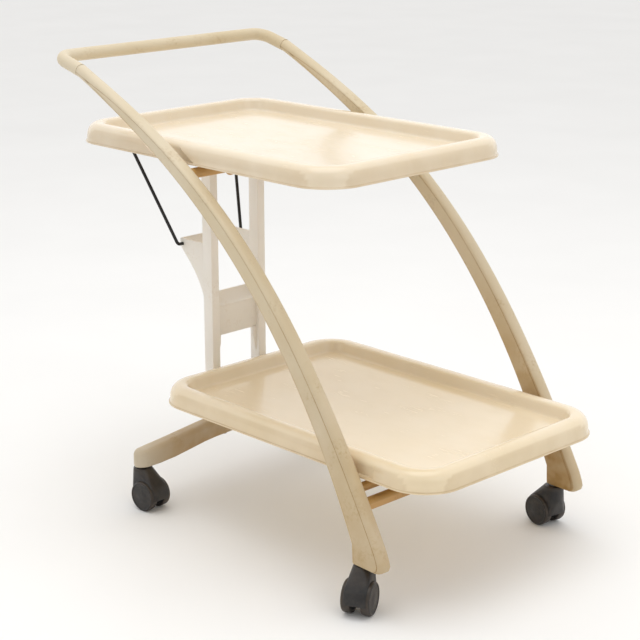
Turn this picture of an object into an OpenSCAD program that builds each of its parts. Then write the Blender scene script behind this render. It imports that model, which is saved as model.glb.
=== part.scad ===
// Folding two-tier serving trolley.
// X runs forward, away from the push handle; Y runs to the trolley's left; Z is up.
// The origin lies on the floor under the middle of the trolley. All sizes are in millimetres.

/* [Trays] */
// Length of each tray along X
tray_l = 600; // [590:1:604]
// Width of each tray along Y
tray_w = 410; // [400:1:412]
// Height of a tray from its lower bead to its rim
tray_h = 31; // [29:1:34]
// Outer corner radius of a tray, seen from above
tray_corner = 66; // [50:1:80]
// Width of the flat rim around the well
rim_w = 31; // [26:1:36]
// Depth of the well below the rim
well_depth = 20; // [16:1:21]
// Wall thickness of the mouldings
wall = 3.5; // [3:0.5:4]
// Height of the upper tray's lower edge above the floor
upper_tray_z = 593; // [592:1:596]
// Height of the lower tray's lower edge above the floor
lower_tray_z = 191; // [190:1:194]

/* [Side arms and handle] */
// Thickness of each side arm along Y
arm_t = 22; // [20:1:24]
// Distance from the middle plane to the middle of a side arm
arm_y = 221; // [221:1:224]
// Diameter of the handle tube
handle_d = 21; // [19:1:22]
// Height of the handle tube's axis above the floor
handle_z = 730; // [728:1:732]
// Distance of the handle's axis behind the origin
handle_back = 398.5; // [397:0.5:399.5]
// Slope at which the handle runs down into the arms, in degrees
handle_slope = 14.5; // [13.5:0.5:15.5]

/* [Rear column] */
// Distance of the column's middle plane behind the origin
column_back = 228; // [227:1:230]
// Depth of each upright along X
upright_d = 22; // [20:1:24]
// Width of each upright along Y
upright_w = 16; // [14:1:16]
// Half of the column's outer width
column_half_w = 60; // [58:1:61]
// Height of the hinge pin that the column hangs from
hinge_z = 572; // [570:1:573]

/* [Castors] */
// Wheel diameter
wheel_d = 50; // [48:1:50]
// Width of one wheel
wheel_w = 14.5; // [14:0.5:15]
// Distance from the swivel axis to the axle
trail = 17; // [15:1:18]
// Height of the castor's mounting face above the floor
castor_h = 72; // [72:0.5:73]

/* [Hidden] */
eps = 0.01;
arc_steps = 10;
running_gap = 0.05;
face_gap = 0.3;

// Cross bars that carry the trays: [x, z, radius]
upper_bar = [-86, 582, 8];
lower_bar = [269, 176, 7];
bar_end_in_arm = 12;
arm_inner_y = arm_y - arm_t / 2;
arm_outer_y = arm_y + arm_t / 2;

// Arm outline: control points of its rear and front edges, then its foot
rear_edge = [[-338.4, 704.8], [-130, 616], [116, 478], [280, 101.5]];
front_edge = [[-333.6, 723.2], [-29, 591], [139, 465], [334, 101]];
arm_steps = 22;
foot_points = [[341.5, 82], [341, 75], [334, 69.5], [326, 69.8], [322, castor_h], [281.5, castor_h]];

handle_r = handle_d / 2;
handle_bend = 24;
handle_stub = 39.5;
spigot_r = 6;
spigot_l = 24;

column_x = -column_back;
upright_y = column_half_w - upright_w / 2;
pin_r = 4;
cheek_t = 6;
cheek_y = column_half_w + 1;
foot_beam_top = 112;
foot_beam_d = 30;
boss_r = 16;
ear_back = 58;
ear_z = 422;
wire_r = 2.75;
wire_hook = [column_x - 62, 413];
wire_bend_y = 70;
wire_top = [-359, 584];
wire_top_y = 114;

upper_tray_x = -98;
lower_tray_x = 98;
clip_y = 120;
clip_w = 24;
saddle_y = 84;
saddle_w = 18;
slot_play = 1.5;
screw_head_r = 4;
screw_r = 2;
floor_under = tray_h - well_depth - wall;

stem_r = 4;
stem_bottom = 52;
stem_top = 95;
sleeve_r = 6;
sleeve_l = 25;
hood_r = 27;
hood_half_w = 17;
neck_r = 16;
web_half = 7;
hood_cut_z = 21;
axle_boss_r = 5.5;
axle_r = 3;
axle_half = 15;
wheel_bore = 12;
axle_z = wheel_d / 2;
front_stem = [292, 217];
rear_stem = [column_x - 2, 207];
// Each castor: name, swivel axis x and y, direction of its axle from the swivel axis in degrees
CASTORS = [
    ["front_right", front_stem[0], -front_stem[1], -65],
    ["front_left", front_stem[0], front_stem[1], 172],
    ["rear_right", rear_stem[0], -rear_stem[1], 5],
    ["rear_left", rear_stem[0], rear_stem[1], 65]
];

// ---- Shared geometry ----

function bezier(p, t) =
    pow(1 - t, 3) * p[0] + 3 * pow(1 - t, 2) * t * p[1] + 3 * (1 - t) * t * t * p[2] + pow(t, 3) * p[3];

function curve(p, n) = [for (i = [0:n]) bezier(p, i / n)];

function reversed(v) = [for (i = [len(v) - 1:-1:0]) v[i]];

// Points of a rounded rectangle centred on the origin
function rounded_rect(l, w, r) = [
    for (corner = [[1, 1, 0], [-1, 1, 90], [-1, -1, 180], [1, -1, 270]])
        for (i = [0:arc_steps])
            [corner[0] * (l / 2 - r), corner[1] * (w / 2 - r)]
            + r * [cos(corner[2] + 90 * i / arc_steps), sin(corner[2] + 90 * i / arc_steps)]
];

// Solid outline drawn in X and Z, extruded along Y from y0 to y1
module along_y(points, y0, y1) {
    translate([0, y1, 0]) rotate([90, 0, 0]) linear_extrude(y1 - y0) polygon(points);
}

// Cylinder along Y from y0 to y1 around the axis at [x, z]
module rod_y(at, r, y0, y1, fn = 48) {
    translate([at[0], y0, at[1]]) rotate([-90, 0, 0]) cylinder(r = r, h = y1 - y0, $fn = fn);
}

// Round rod between two points
module rod(a, b, r) {
    d = b - a;
    translate(a)
        rotate([0, acos(d[2] / norm(d)), atan2(d[1], d[0])])
            cylinder(r = r, h = norm(d), $fn = 24);
}

module both_sides() {
    children();
    mirror([0, 1, 0]) children();
}

// ---- Handle and side arms ----

module handle_frame() {
    translate([-handle_back, 0, handle_z]) rotate([0, handle_slope, 0]) children();
}

module handle_spigots(r, l) {
    both_sides()
        translate([handle_bend + handle_stub - eps, arm_y, 0])
            rotate([0, 90, 0]) cylinder(r = r, h = l + eps, $fn = 32);
}

module handle_bar() {
    straight = arm_y - handle_bend;
    color("#e2dccb") handle_frame() {
        rod_y([0, 0], handle_r, -straight, straight);
        both_sides() {
            translate([handle_bend, straight, 0]) rotate([0, 0, 90])
                rotate_extrude(angle = 90, $fn = 96)
                    translate([handle_bend, 0]) circle(r = handle_r, $fn = 48);
            translate([handle_bend, arm_y, 0]) rotate([0, 90, 0])
                cylinder(r = handle_r, h = handle_stub, $fn = 48);
        }
        handle_spigots(spigot_r, spigot_l);
    }
}

function arm_outline() =
    concat(curve(front_edge, arm_steps), foot_points, reversed(curve(rear_edge, arm_steps)));

module arm(side) {
    y0 = side > 0 ? arm_inner_y : -arm_outer_y;
    color("#dcd3bd") difference() {
        along_y(arm_outline(), y0, y0 + arm_t);
        handle_frame() handle_spigots(spigot_r, spigot_l + 1);
        cross_rod(upper_bar, upper_bar[2]);
        cross_rod(lower_bar, lower_bar[2]);
        beam_tenon();
        translate([front_stem[0], side * front_stem[1], castor_h - 1])
            cylinder(r = sleeve_r, h = sleeve_l + 1, $fn = 32);
    }
}

module cross_rod(bar, r) {
    rod_y([bar[0], bar[1]], r, -arm_inner_y - bar_end_in_arm, arm_inner_y + bar_end_in_arm);
}

module upper_cross_bar() { color("#d9c9a8") cross_rod(upper_bar, upper_bar[2]); }

module lower_cross_bar() { color("#d9c9a8") cross_rod(lower_bar, lower_bar[2]); }

beam_x = 288;
beam_z = 158;
beam_d = 18;
beam_h = 16;
tenon_l = 8;
function beam_outline() =
    [for (p = rounded_rect(beam_d, beam_h, 6)) p + [beam_x, beam_z]];

module beam_tenon() {
    along_y(beam_outline(), -arm_inner_y - tenon_l, arm_inner_y + tenon_l);
}

module lower_cross_beam() { color("#d5c6a4") beam_tenon(); }

module front_castor_sockets() {
    color("#8d8c88") both_sides()
        translate([front_stem[0], front_stem[1], castor_h]) sleeve();
}

module rear_castor_sockets() {
    color("#8d8c88") both_sides()
        translate([rear_stem[0], rear_stem[1], castor_h]) sleeve();
}

module sleeve() {
    difference() {
        cylinder(r = sleeve_r, h = sleeve_l, $fn = 32);
        translate([0, 0, -1]) cylinder(r = stem_r + running_gap, h = sleeve_l, $fn = 32);
    }
}

// ---- Hinge bracket that carries the rear column ----

bracket_ring_r = 12;
bracket_eye_r = 11;
bracket_web_x = -158;

module hinge_bracket() {
    color("#d9c9a8") difference() {
        union() {
            both_sides() {
                along_y([
                    [upper_bar[0], upper_bar[1] + bracket_ring_r - 1],
                    [upper_bar[0], upper_bar[1] - bracket_ring_r + 1],
                    [column_x, hinge_z - bracket_eye_r + 1],
                    [column_x, hinge_z + bracket_eye_r - 1]
                ], cheek_y, cheek_y + cheek_t);
                rod_y([upper_bar[0], upper_bar[1]], bracket_ring_r, cheek_y - 4, cheek_y + cheek_t + 4);
                rod_y([column_x, hinge_z], bracket_eye_r, cheek_y, cheek_y + cheek_t);
            }
            translate([bracket_web_x, -cheek_y - 1, hinge_z - 8])
                cube([10, 2 * cheek_y + 2, 18]);
        }
        cross_rod(upper_bar, upper_bar[2]);
        rod_y([column_x, hinge_z], pin_r, -cheek_y - cheek_t - 1, cheek_y + cheek_t + 1);
        both_sides() bracket_screw(0);
    }
}

// Grub screw that locks the bracket's ring on the cross bar, from below
module bracket_screw(tip) {
    translate([upper_bar[0], cheek_y + cheek_t / 2, upper_bar[1] - bracket_ring_r - 1])
        cylinder(r = screw_r, h = bracket_ring_r - upper_bar[2] + 1 - tip, $fn = 24);
}

module bracket_screws() {
    color("#75757a") both_sides() bracket_screw(eps);
}

module hinge_pin() {
    color("#75757a") union() {
        rod_y([column_x, hinge_z], pin_r, -cheek_y - cheek_t - 1.5, cheek_y + cheek_t + 1.5);
        both_sides() rod_y([column_x, hinge_z], pin_r + 2, cheek_y + cheek_t, cheek_y + cheek_t + 2.5);
    }
}

// ---- Rear column with its foot beam ----

module column() {
    x0 = column_x - upright_d / 2;
    x1 = column_x + upright_d / 2;
    base_z = foot_beam_top;
    color("#e6ddd2") difference() {
        union() {
            both_sides() {
                translate([x0, upright_y - upright_w / 2, base_z])
                    cube([upright_d, upright_w, hinge_z - base_z]);
                rod_y([column_x, hinge_z], upright_d / 2, upright_y - upright_w / 2, column_half_w);
                along_y([
                    [x0 - ear_back, ear_z], [x0 - ear_back, ear_z - 14], [x0 - 46, ear_z - 26],
                    [x0 - 23, ear_z - 50], [x0 - 8, ear_z - 72], [x0 + 2, ear_z - 92], [x0 + 2, ear_z]
                ], column_half_w - 4, column_half_w);
            }
            translate([x0 - ear_back, -column_half_w + 2, ear_z - 18])
                cube([4, 2 * column_half_w - 4, 18]);
            along_y([
                [x0, 335], [x0 + 4, 335], [x1 - 2, 317], [x1 - 2, 313], [x1 - 7, 313],
                [x1 - 7, 261], [x1 - 13, 261], [x1 - 13, 309], [x0, 322]
            ], -column_half_w + 2, column_half_w - 2);
            translate([column_x - foot_beam_d / 2, -column_half_w - 4, base_z])
                cube([foot_beam_d, 2 * column_half_w + 8, 12]);
        }
        rod_y([column_x, hinge_z], pin_r + running_gap, -column_half_w - 1, column_half_w + 1);
        rod_y(wire_hook, wire_r, -column_half_w - 1, column_half_w + 1, 24);
        both_sides() column_screw(0.4);
    }
}

// Screw that joins the foot beam to the column's base, from below
column_screw_y = 30;
column_screw_head_z = 86;
module column_screw(play) {
    translate([column_x, column_screw_y, column_screw_head_z])
        cylinder(r = 2.5, h = base_screw_l + play, $fn = 24);
}
base_screw_l = foot_beam_top + 9 - column_screw_head_z;

module column_screws() {
    color("#75757a") both_sides() {
        column_screw(0);
        translate([column_x, column_screw_y, column_screw_head_z - 3])
            cylinder(r = 4.5, h = 3 + eps, $fn = 24);
    }
}

module foot_beam() {
    end_y = rear_stem[1];
    color("#ddd3c4") difference() {
        union() {
            translate([column_x - foot_beam_d / 2, 0, 0]) rotate([90, 0, 90])
                linear_extrude(foot_beam_d) polygon([
                    for (s = [1, -1]) each s > 0
                        ? [[0, 90], [60, 87], [150, castor_h + 2], [end_y - 10, castor_h],
                            [end_y, castor_h], [end_y, 100], [end_y - 10, 102], [64, foot_beam_top]]
                        : [[-64, foot_beam_top], [-end_y + 10, 102], [-end_y, 100], [-end_y, castor_h],
                            [-end_y + 10, castor_h], [-150, castor_h + 2], [-60, 87]]
                ]);
            both_sides() translate([rear_stem[0], end_y, castor_h]) {
                cylinder(r = boss_r, h = 22, $fn = 48);
                translate([0, 0, 22 - eps]) cylinder(r = boss_r - 4, h = 5, $fn = 48);
            }
        }
        both_sides() {
            translate([rear_stem[0], end_y, castor_h - 1])
                cylinder(r = sleeve_r, h = sleeve_l + 1, $fn = 32);
            column_screw(0.4);
            translate([column_x, column_screw_y, castor_h])
                cylinder(r = 5, h = column_screw_head_z - castor_h, $fn = 24);
        }
    }
}

// Steel ledge on the column's front that the lower tray's rear edge rests on
module tray_rest() {
    face = column_x + upright_d / 2;
    top = lower_tray_z - face_gap;
    color("#55565a")
        along_y([
            [face, top], [face + 27, top], [face + 27, top - 2.5], [face + 2.5, top - 2.5],
            [face + 2.5, top - 34], [face, top - 34]
        ], -column_half_w + 2, column_half_w - 2);
}

// One bent wire: a cross piece under the upper tray and two legs hooked into the column's ears
module stay_wire() {
    top = [wire_top[0], wire_top_y, wire_top[1]];
    knee = [wire_hook[0], wire_bend_y, wire_hook[1]];
    color("#1b1a1a") union() {
        rod_y(wire_top, wire_r, -wire_top_y, wire_top_y, 24);
        both_sides() {
            translate(top) sphere(r = wire_r, $fn = 24);
            rod(top, knee, wire_r);
            translate(knee) sphere(r = wire_r, $fn = 24);
            rod_y(wire_hook, wire_r, column_half_w - 5, wire_bend_y, 24);
        }
    }
}

// ---- Trays ----

module layer(inset, z0, z1) {
    translate([0, 0, z0]) linear_extrude(z1 - z0)
        polygon(rounded_rect(tray_l - 2 * inset, tray_w - 2 * inset, tray_corner - inset));
}

module well(grow, z0, z1) {
    r = tray_corner - rim_w;
    translate([0, 0, z0]) linear_extrude(z1 - z0)
        polygon(rounded_rect(tray_l - 2 * rim_w + 2 * grow, tray_w - 2 * rim_w + 2 * grow, r + grow));
}

// Thin-walled tray: bead, skirt, rim and sunken well, open underneath
module tray() {
    difference() {
        union() {
            layer(0, 0, 4);
            layer(1.2, 4 - eps, tray_h - 6);
            layer(4, tray_h - 6 - eps, tray_h);
        }
        well(0, tray_h - well_depth, tray_h + 1);
        difference() {
            layer(wall + 4, -1, tray_h - wall);
            well(wall, floor_under, tray_h);
        }
    }
}

module upper_tray() {
    color("#ece4cf") difference() {
        translate([upper_tray_x, 0, upper_tray_z]) tray();
        tray_screws(upper_bar, upper_tray_z, 0.2);
        saddle_screws(0.2);
    }
}

module lower_tray() {
    color("#ecdfbf") difference() {
        translate([lower_tray_x, 0, lower_tray_z]) tray();
        tray_screws(lower_bar, lower_tray_z, 0.2);
    }
}

// Pair of hinge clips fixed under a tray; each turns on a cross bar
module hinge_clips(bar, tray_z) {
    ring_r = bar[2] + 5;
    top = tray_z + floor_under;
    both_sides() difference() {
        union() {
            rod_y([bar[0], bar[1]], ring_r, clip_y - clip_w / 2, clip_y + clip_w / 2);
            translate([bar[0] - ring_r, clip_y - clip_w / 2, bar[1]])
                cube([2 * ring_r, clip_w, top - bar[1]]);
            translate([bar[0] - ring_r - 12, clip_y - clip_w / 2, top - 4])
                cube([2 * ring_r + 24, clip_w, 4]);
        }
        rod_y([bar[0], bar[1]], bar[2] + running_gap, clip_y - clip_w, clip_y + clip_w);
        tray_screw_pair(bar, tray_z, 0);
    }
}

module upper_hinge_clips() { color("#d9c9a8") hinge_clips(upper_bar, upper_tray_z); }

module lower_hinge_clips() { color("#d9c9a8") hinge_clips(lower_bar, lower_tray_z); }

// Screws through a clip's feet into the tray's floor
module tray_screw_pair(bar, tray_z, play) {
    top = tray_z + floor_under;
    for (s = [-1, 1]) translate([bar[0] + s * (bar[2] + 11), clip_y, top - 4 - eps])
        cylinder(r = screw_r, h = 4 + wall - 1 + play, $fn = 24);
}

module tray_screws(bar, tray_z, play) { both_sides() tray_screw_pair(bar, tray_z, play); }

module screw_heads(bar, tray_z) {
    both_sides() for (s = [-1, 1])
        translate([bar[0] + s * (bar[2] + 11), clip_y, tray_z + floor_under - 7])
            cylinder(r = screw_head_r, h = 3, $fn = 24);
}

module saddle_screws(play) {
    both_sides() for (s = [-1, 1])
        translate([wire_top[0] + 13 * s, saddle_y, upper_tray_z + floor_under - 4 - eps])
            cylinder(r = screw_r, h = 4 + wall - 1 + play, $fn = 24);
}

// Saddles under the upper tray that sit on the wire's cross piece
module stay_saddles() {
    top = upper_tray_z + floor_under;
    slot_w = 2 * (wire_r + slot_play);
    slot_top = wire_top[1] + wire_r + slot_play;
    color("#d9c9a8") both_sides() difference() {
        union() {
            translate([wire_top[0] - 8, saddle_y - saddle_w / 2, wire_top[1] - 3])
                cube([16, saddle_w, top - wire_top[1] + 3]);
            translate([wire_top[0] - 19, saddle_y - saddle_w / 2, top - 4]) cube([38, saddle_w, 4]);
        }
        translate([wire_top[0] - slot_w / 2, saddle_y - saddle_w, wire_top[1] - 10])
            cube([slot_w, 2 * saddle_w, slot_top - wire_top[1] + 10]);
        saddle_screws(0);
    }
}

module upper_tray_screws() {
    color("#75757a") {
        tray_screws(upper_bar, upper_tray_z, 0);
        screw_heads(upper_bar, upper_tray_z);
        saddle_screws(0);
        both_sides() for (s = [-1, 1])
            translate([wire_top[0] + 13 * s, saddle_y, upper_tray_z + floor_under - 7])
                cylinder(r = screw_head_r, h = 3, $fn = 24);
    }
}

module lower_tray_screws() {
    color("#75757a") {
        tray_screws(lower_bar, lower_tray_z, 0);
        screw_heads(lower_bar, lower_tray_z);
    }
}

// ---- Castors: swivel axis on Z, axle ahead of it along X ----

module castor_stem() {
    color("#75757a") union() {
        translate([0, 0, stem_bottom]) cylinder(r = stem_r, h = stem_top - stem_bottom, $fn = 32);
        translate([0, 0, castor_h - 2.5]) cylinder(r = 7, h = 2.5 - face_gap, $fn = 32);
    }
}

module castor_hood() {
    hood_top = castor_h - 2.5;
    color("#33302e") difference() {
        hull() {
            translate([trail, hood_half_w, axle_z]) rotate([90, 0, 0])
                cylinder(r = hood_r, h = 2 * hood_half_w, $fn = 40);
            translate([0, 0, axle_z + 20]) cylinder(r = neck_r, h = hood_top - axle_z - 20, $fn = 32);
        }
        for (s = [-1, 1])
            translate([trail, s * (web_half + 20), axle_z]) rotate([90, 0, 0])
                cylinder(r = wheel_d / 2 + 0.8, h = 40, center = true, $fn = 48);
        difference() {
            translate([trail - 60, -50, hood_cut_z - 50]) cube([120, 100, 50]);
            translate([trail, 50, axle_z]) rotate([90, 0, 0]) cylinder(r = axle_boss_r, h = 100, $fn = 32);
        }
        translate([trail, 30, axle_z]) rotate([90, 0, 0]) cylinder(r = axle_r, h = 60, $fn = 24);
        translate([0, 0, stem_bottom]) cylinder(r = stem_r, h = 40, $fn = 32);
    }
}

module castor_axle() {
    color("#8d8c88") rod_y([trail, axle_z], axle_r, -axle_half, axle_half, 24);
}

// Wheel with a closed outer disc; s is its side of the castor
module castor_wheel(s) {
    inner = web_half + 0.5;
    r = wheel_d / 2;
    color("#3a3431") translate([trail, 0, axle_z]) rotate([-90 * s, 0, 0])
        rotate_extrude($fn = 64) polygon([
            [axle_r + running_gap, inner], [10, inner], [10, inner + 2], [r - 5, inner + 2], [r - 5, inner],
            [r - 1, inner], [r, inner + 1], [r, inner + wheel_w - 2], [r - 1.5, inner + wheel_w - 0.5],
            [r - 3, inner + wheel_w - 0.5], [r - 4, inner + wheel_w - 1.2], [8, inner + wheel_w - 0.3],
            [0, inner + wheel_w], [0, inner + wheel_bore],
            [axle_r + running_gap, inner + wheel_bore]
        ]);
}

module at_castor(c) {
    translate([c[1], c[2], 0]) rotate([0, 0, c[3]]) children();
}

// ---- Assembly ----

handle_bar();
arm(-1);  // right_arm
arm(1);  // left_arm
upper_cross_bar();
lower_cross_bar();
lower_cross_beam();
hinge_bracket();
hinge_pin();
bracket_screws();
front_castor_sockets();
column();
foot_beam();
column_screws();
stay_wire();
tray_rest();
rear_castor_sockets();
upper_tray();
upper_hinge_clips();
stay_saddles();
upper_tray_screws();
lower_tray();
lower_hinge_clips();
lower_tray_screws();
for (c = CASTORS) {
    at_castor(c) castor_stem();
    at_castor(c) castor_hood();
    at_castor(c) castor_axle();
    at_castor(c) castor_wheel(-1);
    at_castor(c) castor_wheel(1);
}
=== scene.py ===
"""Visual model of a folding two-tier serving trolley, laid over its fixed frame."""
import math

import bmesh
import bpy
from bpy.props import FloatProperty, FloatVectorProperty, IntProperty, PointerProperty
from mathutils import Matrix, Quaternion, Vector


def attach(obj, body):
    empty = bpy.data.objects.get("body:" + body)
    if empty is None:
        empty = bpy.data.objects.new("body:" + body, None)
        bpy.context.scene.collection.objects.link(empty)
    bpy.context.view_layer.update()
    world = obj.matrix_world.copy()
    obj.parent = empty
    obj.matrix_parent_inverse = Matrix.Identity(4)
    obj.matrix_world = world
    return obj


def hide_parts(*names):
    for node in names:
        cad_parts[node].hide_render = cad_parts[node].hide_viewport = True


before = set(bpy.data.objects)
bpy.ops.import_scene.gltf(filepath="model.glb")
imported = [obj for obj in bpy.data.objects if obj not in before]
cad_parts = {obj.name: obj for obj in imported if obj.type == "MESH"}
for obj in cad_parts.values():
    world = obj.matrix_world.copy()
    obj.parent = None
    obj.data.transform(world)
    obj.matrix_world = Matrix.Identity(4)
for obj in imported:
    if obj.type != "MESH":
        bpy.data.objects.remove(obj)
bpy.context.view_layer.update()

bl_info = {
    "name": "Folding serving trolley",
    "version": (1, 0, 0),
    "blender": (4, 5, 0),
    "location": "View3D > Sidebar > Trolley",
    "description": "Builds the trays, arms, column and castors of a folding serving trolley",
    "category": "Add Mesh",
}

MM = 0.001
COLUMN_X = -0.228
# Each cross bar: its node, its axis in X and Z, its radius
CROSS_BARS = (("upper_cross_bar", (-0.086, 0.582), 0.008), ("lower_cross_bar", (0.269, 0.176), 0.007))
BAR_REACH = 0.212
# Section of the beam between the arms' feet, in X and Z, and the radius of each of its corners
LOWER_BEAM = ((0.279, 0.150), (0.297, 0.150), (0.297, 0.166), (0.279, 0.166))
LOWER_BEAM_ROUNDS = {0: 0.005, 1: 0.005, 2: 0.006, 3: 0.006}
# The stay wire in X and Z where it is hooked in the ears and under the upper tray
WIRE_HOOK = (-0.290, 0.413)
WIRE_TOP = (-0.359, 0.584)
# Half of the wire's width at its ends, outside the ears and across the tray
WIRE_HALF = (0.0555, 0.0705, 0.114)
# The middle of the handle's cross piece in X and Z, and how far its ends run down to the arms
HANDLE_MIDDLE = (-0.3985, 0.730)
HANDLE_STUB = 0.0635
# Control points of the arm's rear and front edges, in X and Z
REAR_EDGE = ((-0.3384, 0.7048), (-0.130, 0.616), (0.116, 0.478), (0.280, 0.1015))
FRONT_EDGE = ((-0.3336, 0.7232), (-0.029, 0.591), (0.139, 0.465), (0.334, 0.101))
# Each castor: name, swivel axis in X and Y, direction from there to its wheels in degrees
CASTORS = (
    ("front_right", 0.292, -0.217, -65.0),
    ("front_left", 0.292, 0.217, 172.0),
    ("rear_right", -0.230, -0.207, 5.0),
    ("rear_left", -0.230, 0.207, 65.0),
)


# ---------------------------------------------------------------- colour and nodes


def linear(code, alpha=1.0):
    """sRGB hex code to linear colour."""
    parts = [int(code[i:i + 2], 16) / 255 for i in (1, 3, 5)]
    return (*[c / 12.92 if c <= 0.04045 else ((c + 0.055) / 1.055) ** 2.4 for c in parts], alpha)


def per_mm(size):
    """Noise scale that gives features of about this many millimetres."""
    return 1000.0 / size


def add_node(tree, kind, inputs=None, stops=None, **settings):
    """Add one node, set its properties and sockets, and link any socket given as an input."""
    node = tree.nodes.new("ShaderNode" + kind)
    for key, value in settings.items():
        setattr(node, key, value)
    if stops:
        ramp = node.color_ramp.elements
        while len(ramp) < len(stops):
            ramp.new(0.5)
        for element, (place, value) in zip(ramp, stops):
            element.position = place
            element.color = (value, value, value, 1.0)
    for key, value in (inputs or {}).items():
        if isinstance(value, bpy.types.NodeSocket):
            tree.links.new(value, node.inputs[key])
        else:
            node.inputs[key].default_value = value
    return node


def blank_material(name):
    """Empty material with its output node; gives the material and its tree."""
    material = bpy.data.materials.new(name)
    material.use_nodes = True
    material.node_tree.nodes.clear()
    return material, material.node_tree


def finish_material(tree, shader):
    """Wire the shader to the output."""
    add_node(tree, "OutputMaterial", {"Surface": shader.outputs["BSDF"]})


def noise(tree, size, detail=2.0, stretch=None, seed=0.0):
    """Noise on object coordinates with features of this size in millimetres."""
    place = add_node(tree, "TexCoord").outputs["Object"]
    if stretch or seed:
        place = add_node(tree, "Mapping", {
            "Vector": place,
            "Location": (seed, seed * 0.7, seed * 0.3),
            "Scale": stretch or (1.0, 1.0, 1.0),
        }).outputs["Vector"]
    return add_node(tree, "TexNoise", {
        "Vector": place, "Scale": per_mm(size), "Detail": detail, "Roughness": 0.55,
    }).outputs["Fac"]


def between(tree, value, low, high, start=0.0, end=1.0):
    """Map a value from low..high to start..end, clamped."""
    return add_node(tree, "MapRange", {
        "Value": value, "From Min": low, "From Max": high, "To Min": start, "To Max": end,
    }).outputs["Result"]


def blend_colour(tree, mask, first, second):
    """Mix two colours, given as codes or sockets, by a mask."""
    first = linear(first) if isinstance(first, str) else first
    second = linear(second) if isinstance(second, str) else second
    return add_node(tree, "Mix", {0: mask, 6: first, 7: second}, data_type="RGBA").outputs[2]


def calculate(tree, operation, first, second):
    """One arithmetic node."""
    return add_node(tree, "Math", {0: first, 1: second}, operation=operation).outputs["Value"]


def bump(tree, height, distance_mm, strength=1.0, normal=None):
    """Bump from a height map, with its depth in millimetres."""
    inputs = {"Height": height, "Distance": distance_mm * MM, "Strength": strength}
    if normal is not None:
        inputs["Normal"] = normal
    return add_node(tree, "Bump", inputs).outputs["Normal"]


# ---------------------------------------------------------------- materials


def glossy_abs(name, base, aged):
    """ABS trays, injection moulded in a polished tool: glossy, a little yellowed, finely rubbed."""
    material, tree = blank_material(name)
    ageing = between(tree, noise(tree, 260, 3.0), 0.35, 0.70)
    colour = blend_colour(tree, ageing, base, aged)
    smears = between(tree, noise(tree, 70, 4.0, (1.0, 2.2, 1.0), 3.1), 0.45, 0.75)
    colour = blend_colour(tree, calculate(tree, "MULTIPLY", smears, 0.25), colour, "#DCC7A0")
    # On the trays this attribute carries painted shade only: the crease above the bead and the darker outer
    # walls
    grime_and_shade = add_node(tree, "Attribute", attribute_name="grime_and_shade").outputs["Fac"]
    grime_and_shade = calculate(tree, "MULTIPLY", grime_and_shade, between(tree, noise(tree, 40, 2.0), 0.30, 0.62, 0.6, 1.0))
    colour = blend_colour(tree, grime_and_shade, colour, "#B08E58")
    # Rubbing marks run along the tray, about 1.5 mm apart
    rubs = noise(tree, 1.5, 2.0, (0.06, 1.0, 1.0))
    rough = between(tree, rubs, 0.35, 0.75, 0.16, 0.24)
    rough = calculate(tree, "ADD", rough, calculate(tree, "MULTIPLY", smears, 0.10))
    # Polished tools still leave a slow ripple, about 18 mm long
    normal = bump(tree, noise(tree, 18, 1.0), 0.10, 0.5)
    normal = bump(tree, rubs, 0.010, 0.3, normal)
    shader = add_node(tree, "BsdfPrincipled", {
        "Base Color": colour, "Roughness": rough, "Normal": normal, "IOR": 1.53,
        "Subsurface Weight": 0.06, "Subsurface Radius": (0.004, 0.003, 0.002),
        "Coat Weight": 0.25, "Coat Roughness": 0.08,
    })
    finish_material(tree, shader)
    return material


def satin_polypropylene(name, base, aged, stain, stain_share):
    """Polypropylene, injection moulded in a grained tool: satin, with rubbed edges, old stains and painted
    shade.
    """
    material, tree = blank_material(name)
    ageing = between(tree, noise(tree, 160, 2.0), 0.30, 0.72)
    colour = blend_colour(tree, ageing, base, aged)
    # Stains lie in patches of about 45 mm and break up into 5 mm blots
    patches = between(tree, noise(tree, 45, 2.0, None, 2.3), 0.54, 0.70)
    blots = between(tree, noise(tree, 5, 5.0, None, 5.1), 0.48, 0.70)
    stains = calculate(tree, "MULTIPLY", patches, blots)
    colour = blend_colour(tree, calculate(tree, "MULTIPLY", stains, stain_share), colour, stain)
    grime_and_shade = add_node(tree, "Attribute", attribute_name="grime_and_shade").outputs["Fac"]
    broken = between(tree, noise(tree, 30, 2.0, None, 9.2), 0.25, 0.65, 0.55, 1.0)
    grime_and_shade = calculate(tree, "MULTIPLY", grime_and_shade, broken)
    # Dirt and painted shade first turn the plastic tan, and brown only where the mark is strong
    colour = blend_colour(tree, between(tree, grime_and_shade, 0.0, 0.6), colour, "#AA8447")
    colour = blend_colour(tree, between(tree, grime_and_shade, 0.5, 1.0), colour, "#7B5F38")
    # Fine scuffs run along the part, drawn 1.2 mm apart so that they show
    scuffs = noise(tree, 1.2, 3.0, (1.0, 1.0, 0.10))
    rough = between(tree, scuffs, 0.30, 0.80, 0.42, 0.58)
    normal = bump(tree, noise(tree, 0.9, 2.0), 0.020, 0.5)
    normal = bump(tree, noise(tree, 30, 1.0), 0.12, 0.4, normal)
    shader = add_node(tree, "BsdfPrincipled", {
        "Base Color": colour, "Roughness": rough, "Normal": normal, "IOR": 1.49,
        "Subsurface Weight": 0.04, "Subsurface Radius": (0.004, 0.003, 0.002),
    })
    finish_material(tree, shader)
    return material


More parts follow.
